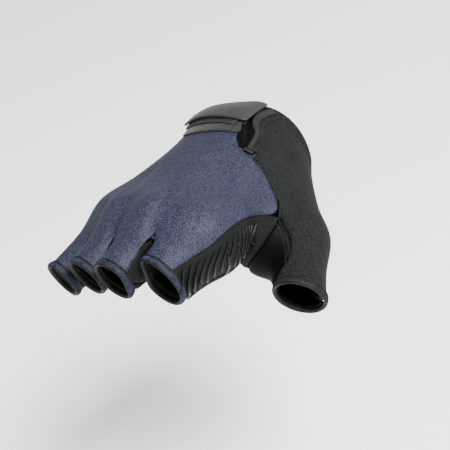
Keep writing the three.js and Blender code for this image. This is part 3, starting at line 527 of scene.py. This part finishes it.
# Panels: wall and seam sizes in mm, the seam allowance as reach outward and down, and spread as the least
# cosine between neighbouring outer faces; laid ones follow the form, the others keep the place of their solid
stripCloth = {"wall": 1.0, "levels": 2, "seamWidth": 1, "seamDepth": 0.3, "laid": False,
              "allowance": (1.0, 0.4), "finish": "stripMesh", "slot": "strip_fabric"}
panels = {
    "back_panel": {"spread": 0.62, "wall": 1.3, "levels": 3, "seamWidth": 1.8, "seamDepth": 0.6,
                   "allowance": (0.35, 1.0), "creased": True, "finish": "navyJersey", "slot": "stretch_fabric"},
    "palm_panel": {"spread": 0.4, "wall": 1.6, "levels": 3, "seamWidth": 1.5, "seamDepth": 0.6,
                   "allowance": (1.8, 1.1), "finish": "palmSuede", "slot": "palm_leather"},
    "thumb_panel": {"spread": 0.4, "wall": 1.3, "levels": 3, "seamWidth": 1.8, "seamDepth": 0.6,
                    "allowance": (2.2, 1.1), "finish": "blackKnit", "slot": "thumb_knit"},
    "thumb_gusset": {"spread": 0.4, "wall": 1.2, "levels": 3, "seamWidth": 1.2, "seamDepth": 0.4,
                     "allowance": (2.6, 1.2), "finish": "smoothElastic", "slot": "gusset_fabric"},
    "side_strip_little_ring": stripCloth,
    "side_strip_ring_middle": stripCloth,
    "side_strip_middle_index": stripCloth,
    "loop_patch": {"wall": 0.6, "levels": 2, "seamWidth": 0.6, "seamDepth": 0.2, "laid": False,
                   "corners": False, "finish": "loopPile", "slot": "loop_pile"},
    "hook_pad": {"wall": 0.6, "levels": 2, "seamWidth": 0.6, "seamDepth": 0.2, "laid": False,
                 "corners": False, "finish": "hookField", "slot": "hook_tape"},
    "closure_strap": {"wall": 1.2, "levels": 3, "seamWidth": 0.9, "seamDepth": 0.45, "laid": False,
                      "corners": False, "finish": "strapFace", "slot": "strap_fabric"},
    "slit_binding": {"wall": 1.0, "levels": 3, "seamWidth": 0.6, "seamDepth": 0.3, "laid": False,
                     "finish": "edgeTape", "slot": "edge_tape"},
    "bar_tack": {"wall": 1.4, "levels": 3, "seamWidth": 0.5, "seamDepth": 0.4, "laid": False,
                 "finish": "blackThread", "slot": "hem_thread"},
}
# The cloth's wall is this much thinner than its solid's, in mm
wallLoss = 0.1
for node, cloth in panels.items():
    mesh = clothMesh(node, cloth)
    piece = addPiece(f"{node}_cloth", mesh, materials[cloth["finish"]], cloth["slot"], node)
    thicken(piece, cloth["wall"] - wallLoss)
    print("panel", node, len(mesh.polygons))

# Hems and the wrist tape: a rounded band swept round an opening, placed and sized by its solid
digits = ("little", "ring", "middle", "index", "thumb")
bands = {f"hem_{digit}": {"width": 2.6, "ahead": (0, -1, 0)} for digit in digits}
bands["wrist_binding"] = {"width": 3.0, "ahead": (0, 1, 0)}


# Centre and direction of an opening: the flattest direction of the solid points out of the glove
def bandFrame(node, band):
    points = meshPoints(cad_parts[node].data) / mm
    centre = points.mean(axis=0)
    along = np.linalg.svd(points - centre, full_matrices=False)[2][2]
    if along @ np.array(band["ahead"]) < 0:
        along = -along
    side = np.cross(along, (0, 0, 1))
    side /= np.linalg.norm(side)
    return centre, along, side, np.cross(side, along)


# Inner and outer radius of a band all round, measured from its solid and smoothed
def bandRadii(node, band, count=90, far=100, half=4):
    centre, _, side, up = bandFrame(node, band)
    bm = bmesh.new()
    bm.from_mesh(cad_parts[node].data)
    tree = BVHTree.FromBMesh(bm)
    radii = []
    for turn in np.linspace(0, 2 * math.pi, count, endpoint=False):
        direction = Vector(side * math.cos(turn) + up * math.sin(turn))
        inner = tree.ray_cast(Vector(centre * mm), direction)[3]
        outer = tree.ray_cast(Vector(centre * mm) + direction * far * mm, -direction)[3]
        radii.append((inner / mm, far - outer / mm))
    bm.free()
    radii = np.array(radii)
    window = np.hanning(2 * half + 1)
    window /= window.sum()
    wrapped = np.concatenate([radii[-half:], radii, radii[:half]])
    return np.array([np.convolve(wrapped[:, i], window, mode="valid") for i in (0, 1)]).T


# A point of a band: turn round the opening and swing round its rounded section, both in radians
def bandPoint(shape, turn, swing, swell=0.0):
    place = (turn / (2 * math.pi) * len(shape["radii"])) % len(shape["radii"])
    low = int(place) % len(shape["radii"])
    share = place - int(place)
    inner, outer = shape["radii"][low] * (1 - share) + shape["radii"][(low + 1) % len(shape["radii"])] * share
    across = (outer - inner) / 2 + swell
    reach = (inner + outer) / 2 + across * math.sin(swing)
    centre, along, side, up = shape["frame"]
    forward = (shape["width"] / 2 + swell) * math.cos(swing)
    if forward < 0:
        forward *= 1 + shape["tuck"]
    return centre + along * forward + (side * math.cos(turn) + up * math.sin(turn)) * reach


def bandMesh(name, shape, turns, swings):
    bm = bmesh.new()
    bmesh.ops.create_grid(bm, x_segments=turns, y_segments=swings, size=0.5)
    for vert in bm.verts:
        turn, swing = ((share + 0.5) * 2 * math.pi for share in vert.co.xy)
        vert.co = Vector(bandPoint(shape, turn, swing) * mm)
    bmesh.ops.remove_doubles(bm, verts=bm.verts, dist=0.01 * mm)
    bmesh.ops.recalc_face_normals(bm, faces=bm.faces)
    return meshFrom(bm, name)


# Sewing threads: every run is a short curve with a round section, all joined into one mesh
def threadMesh(name, runs, thickness, sides=1):
    curve = bpy.data.curves.new(name, "CURVE")
    curve.dimensions = "3D"
    curve.bevel_depth = thickness / 2 * mm
    curve.bevel_resolution = sides
    curve.use_fill_caps = True
    for run in runs:
        spline = curve.splines.new("POLY")
        spline.points.add(len(run) - 1)
        for point, place in zip(spline.points, run):
            point.co = (*(np.array(place) * mm), 1)
    holder = bpy.data.objects.new(name, curve)
    scene.collection.objects.link(holder)
    return finishedMesh(holder, name)


# Hems: a dark rolled edge, a braid of crossing threads on its outside and a cord along each side; lengths are
# in mm, reach and cord places are angles round the rolled edge, and tuck lengthens the edge's inner half
hemSewing = {"tuck": 1.0, "pitch": 1.7, "reach": 36, "thread": 0.42, "cord": 0.5, "cordPlaces": (18, 150),
             "rise": 0.1}


def braidRun(shape, phase):
    waves = round(2 * math.pi * shape["radii"].mean() / hemSewing["pitch"])
    pointsPerWave = 6
    turns = np.linspace(0, 2 * math.pi, waves * pointsPerWave + 1)
    swings = [math.radians(90 + hemSewing["reach"] * math.sin(turn * waves + phase)) for turn in turns]
    return [bandPoint(shape, turn, swing, hemSewing["rise"]) for turn, swing in zip(turns, swings)]


def cordRun(shape, angle):
    turns = np.linspace(0, 2 * math.pi, 121)
    return [bandPoint(shape, turn, math.radians(angle), hemSewing["rise"]) for turn in turns]


def addThreads(name, runs, thickness, finish):
    addPiece(name, threadMesh(name, runs, thickness), materials[finish], "hem_thread")


for node, band in bands.items():
    shape = {"radii": bandRadii(node, band), "frame": bandFrame(node, band), "width": band["width"],
             "tuck": hemSewing["tuck"]}
    if node == "wrist_binding":
        addPiece("wrist_tape", bandMesh(node, shape, 160, 16), materials["blackKnit"], "edge_tape", node)
        continue
    addPiece(f"{node}_roll", bandMesh(node, shape, 96, 14), materials["blackThread"], "hem_thread", node)
    crossing = [braidRun(shape, phase) for phase in (0, math.pi)]
    finish = "blackThread" if node == "hem_thumb" else "hemThread"
    addThreads(f"{node}_braid", crossing, hemSewing["thread"], finish)
    cords = [cordRun(shape, angle) for angle in hemSewing["cordPlaces"]]
    addThreads(f"{node}_cord", cords, hemSewing["cord"], "blackThread")
print("hems and tapes made")

# Courses of the seams on the form, as marks in mm
courses = {
    "slit": [(20, -3, 16), (18.2, -18, 18), (22, -25, 16), (24, -37.4, 14), (29.7, -43, 9.7),
             (34.3, -44.3, 0.2), (37.5, -45, -7.6), (44.1, -56.2, -12.5)],
    "thumb": [(44.1, -56.2, -12.5), (50.4, -59.4, -15.2), (55, -66, -21.2), (56.9, -71.2, -28.8)],
}


# A sheet through rows of points
def sheetMesh(name, rows):
    bm = bmesh.new()
    rows = [[bm.verts.new(Vector(point * mm)) for point in row] for row in rows]
    for low, high in zip(rows, rows[1:]):
        for step in range(len(low) - 1):
            bm.faces.new((low[step], low[step + 1], high[step + 1], high[step]))
    return meshFrom(bm, name)


# The slit's edge: a facing under the tape, as far as the slit itself goes, and a welt along the whole seam
slitEdge = {"facingMarks": 4, "facingHeight": 1.42, "facingEdges": (-3.6, 1.2), "facingWall": 0.3,
            "weltHeight": 0.7, "weltThickness": 1.3}
facing = pathOn(courses["slit"][:slitEdge["facingMarks"]], 90, slitEdge["facingHeight"])
sideways = acrossOf(facing)
rows = [laid(facing + sideways * offset, slitEdge["facingHeight"])
        for offset in np.linspace(*slitEdge["facingEdges"], 9)]
facingPiece = addPiece("slit_facing", sheetMesh("slit_facing", rows), materials["blackKnit"], "thumb_knit")
thicken(facingPiece, slitEdge["facingWall"])
weltPath = pathOn(courses["slit"], 120, slitEdge["weltHeight"])
welt = threadMesh("slit_welt", [weltPath], slitEdge["weltThickness"], 2)
addPiece("slit_welt", welt, materials["blackKnit"], "thumb_knit")

# Two rows of zigzag stitches along the thumb seam
thumbSewing = {"offsets": (1.4, 3.4), "count": 34, "reach": 0.5, "thread": 0.35, "height": 1.3}
path = pathOn(courses["thumb"], thumbSewing["count"], thumbSewing["height"])
swerve = thumbSewing["reach"] * np.where(np.arange(len(path)) % 2 == 0, -1, 1)
zigzags = [laid(path + acrossOf(path) * (offset + swerve)[:, None], thumbSewing["height"])
           for offset in thumbSewing["offsets"]]
addThreads("thumb_stitches", zigzags, thumbSewing["thread"], "blackThread")
print("seams stitched")

# Grip ribs: rounded from their solids
for node in sorted(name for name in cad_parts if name.startswith("grip_rib")):
    bm = mergedSolid(node)
    joinTriangles(bm)
    addPiece(f"{node}_print", subdivided(bm, node, 2), materials["gripSilicone"], "grip_silicone", node)


# A chart of the form: arms turn, widened sideways, round a line that runs along the hand at a depth and drifts
# to the thumb side
chart = {"widening": 1.8, "drift": 0.02, "depth": -3.0, "rounds": 30, "limit": 6}


# Points by their turn round the hand and their station along it, at a height above the form
def chartPoints(turns, stations, height):
    turns, stations = np.radians(turns), np.array(stations, float)
    arms = np.array([np.sin(turns) * chart["widening"], np.zeros(len(turns)), np.cos(turns)]).T
    arms /= np.linalg.norm(arms, axis=1)[:, None]
    centres = np.array([stations * chart["drift"], stations, np.full(len(turns), chart["depth"])]).T
    reach = np.zeros(len(turns))
    for _ in range(chart["rounds"]):
        lift = formDistance(centres + arms * reach[:, None]) - height
        reach -= np.clip(lift, -chart["limit"], chart["limit"])
    return centres + arms * reach[:, None]


# Raised lines printed round the edge of the palm, a plain pattern of bowed lines between two guides on the
# form: each runs from the share start to one of the shares in ends, and rails go along the guides at two more
gripLines = {
    "upper": [(38.5, -66, -8), (41, -77, -2.5), (41.8, -88, -0.2), (41, -96, -0.6), (37, -104, -3),
              (28.5, -114, -4)],
    "lower": [(40.5, -71, -18.5), (37.5, -80, -22), (34.5, -90, -22.5), (31, -101, -21.5), (23, -117, -21)],
    "count": 13, "start": 0.06, "ends": (0.8, 0.66, 0.74), "bow": 4.2, "rails": (0.86, 0.98),
    "thickness": 1.3, "height": 1.7,
}


def printedLines():
    upper = pathOn(gripLines["upper"], gripLines["count"], gripLines["height"])
    lower = pathOn(gripLines["lower"], gripLines["count"], gripLines["height"])
    runs = []
    for order, (start, end) in enumerate(zip(upper, lower)):
        last = gripLines["ends"][order % len(gripLines["ends"])]
        share = np.linspace(gripLines["start"], last, 15)[:, None]
        line = start + (end - start) * share
        line[:, 1] -= gripLines["bow"] * np.sin(math.pi * share[:, 0])
        runs.append(laid(line, gripLines["height"]))
    for share in gripLines["rails"]:
        rail = upper + (lower - upper) * share
        runs.append(laid(rail[2:-1], gripLines["height"]))
    return runs


edgePrint = threadMesh("edge_print", printedLines(), gripLines["thickness"], 2)
addPiece("edge_print", edgePrint, materials["gripSilicone"], "grip_silicone")

# Cloth bound under the slit, from the strap root to the tape, with a slight ripple: edges as turn and station
gusset = {
    "left": ((15, -13), (16.5, -25), (21.5, -33), (29, -38.5)),
    "right": ((23, -13), (26.5, -22), (31.5, -29), (34, -38.5)),
    "height": 1.8, "wall": 0.4, "steps": 40, "across": 14,
    "ripple": 0.35, "rippleAcross": 9, "rippleAlong": 0.25,
}


def gussetEdge(side):
    marks = np.array(gusset[side], float)
    at = np.linspace(0, len(marks) - 1, gusset["steps"] + 1)
    return np.array([np.interp(at, range(len(marks)), marks[:, axis]) for axis in (0, 1)])


left, right = gussetEdge("left"), gussetEdge("right")
rows = []
for share in np.linspace(0, 1, gusset["across"] + 1):
    turns, stations = left * (1 - share) + right * share
    ripple = gusset["ripple"] * np.sin(share * gusset["rippleAcross"] + stations * gusset["rippleAlong"])
    rows.append(chartPoints(turns, stations, gusset["height"] + ripple))
slitCloth = addPiece("slit_gusset_cloth", sheetMesh("slit_gusset", rows), materials["smoothElastic"],
                     "gusset_fabric", "slit_gusset")
thicken(slitCloth, gusset["wall"])

# Seam line of the wrist turn-up on the knit and the palm
turnUp = {"turns": (36, 196), "station": -4.6, "height": 1.35, "thread": 0.4}
turns = np.linspace(*turnUp["turns"], 121)
seamLine = chartPoints(turns, np.full(len(turns), turnUp["station"]), turnUp["height"])
addThreads("wrist_stitching", [seamLine], turnUp["thread"], "blackThread")
print("grip and slit made")

# Camera: from the front, above the thumb side, as in the photograph
view = {
    "place": (426.41, -595.36, 326.90),
    "right": (0.8362, 0.5052, -0.2135),
    "up": (-0.0771, 0.4937, 0.8662),
    "back": (0.5430, -0.7079, 0.4517),
    "focalPixels": 1581.1,
    "framePixels": 450,
}
lens = bpy.data.cameras.new("camera")
lens.sensor_width = 36
lens.lens = view["focalPixels"] * lens.sensor_width / view["framePixels"]
lens.clip_start = 0.01
lens.clip_end = 20
camera = bpy.data.objects.new("camera", lens)
turned = Matrix([view["right"], view["up"], view["back"]]).transposed().to_4x4()
camera.matrix_world = Matrix.Translation(Vector(view["place"]) * mm) @ turned
scene.collection.objects.link(camera)
scene.camera = camera

# Pale floor and soft studio light: places and sizes in m, powers in W
studio = {
    "floor": {"height": -0.19, "halfWidth": 6, "colour": "#ffffff", "roughness": 0.9},
    "lamps": {
        "key": {"place": (0.95, -0.45, 1.2), "size": 0.6, "power": 92},
        "fill": {"place": (-0.9, -1.3, 0.5), "size": 1.2, "power": 4},
        "rim": {"place": (0.2, 1.3, 1.0), "size": 0.9, "power": 8},
    },
    "aim": (0, -0.06, 0),
    "air": {"colour": "#f2f2f2", "strength": 1.05},
}
bm = bmesh.new()
bmesh.ops.create_grid(bm, x_segments=1, y_segments=1, size=studio["floor"]["halfWidth"])
bmesh.ops.translate(bm, verts=bm.verts, vec=(0, 0, studio["floor"]["height"]))
floor = bpy.data.objects.new("floor", meshFrom(bm, "floor"))
scene.collection.objects.link(floor)
# matt white backdrop paper
paper = bpy.data.materials.new("backdropPaper")
paper.use_nodes = True
paperShader = paper.node_tree.nodes["Principled BSDF"]
paperShader.inputs["Base Color"].default_value = linearColour(studio["floor"]["colour"])
paperShader.inputs["Roughness"].default_value = studio["floor"]["roughness"]
floor.data.materials.append(paper)

for name, settings in studio["lamps"].items():
    lamp = bpy.data.lights.new(name, "AREA")
    lamp.size = settings["size"]
    lamp.energy = settings["power"]
    holder = bpy.data.objects.new(name, lamp)
    holder.location = settings["place"]
    aim = Vector(studio["aim"]) - Vector(settings["place"])
    holder.rotation_euler = aim.to_track_quat("-Z", "Y").to_euler()
    scene.collection.objects.link(holder)
world = bpy.data.worlds.new("studioAir")
scene.world = world
world.use_nodes = True
background = world.node_tree.nodes["Background"]
background.inputs["Color"].default_value = linearColour(studio["air"]["colour"])
background.inputs["Strength"].default_value = studio["air"]["strength"]
print("camera and light set")
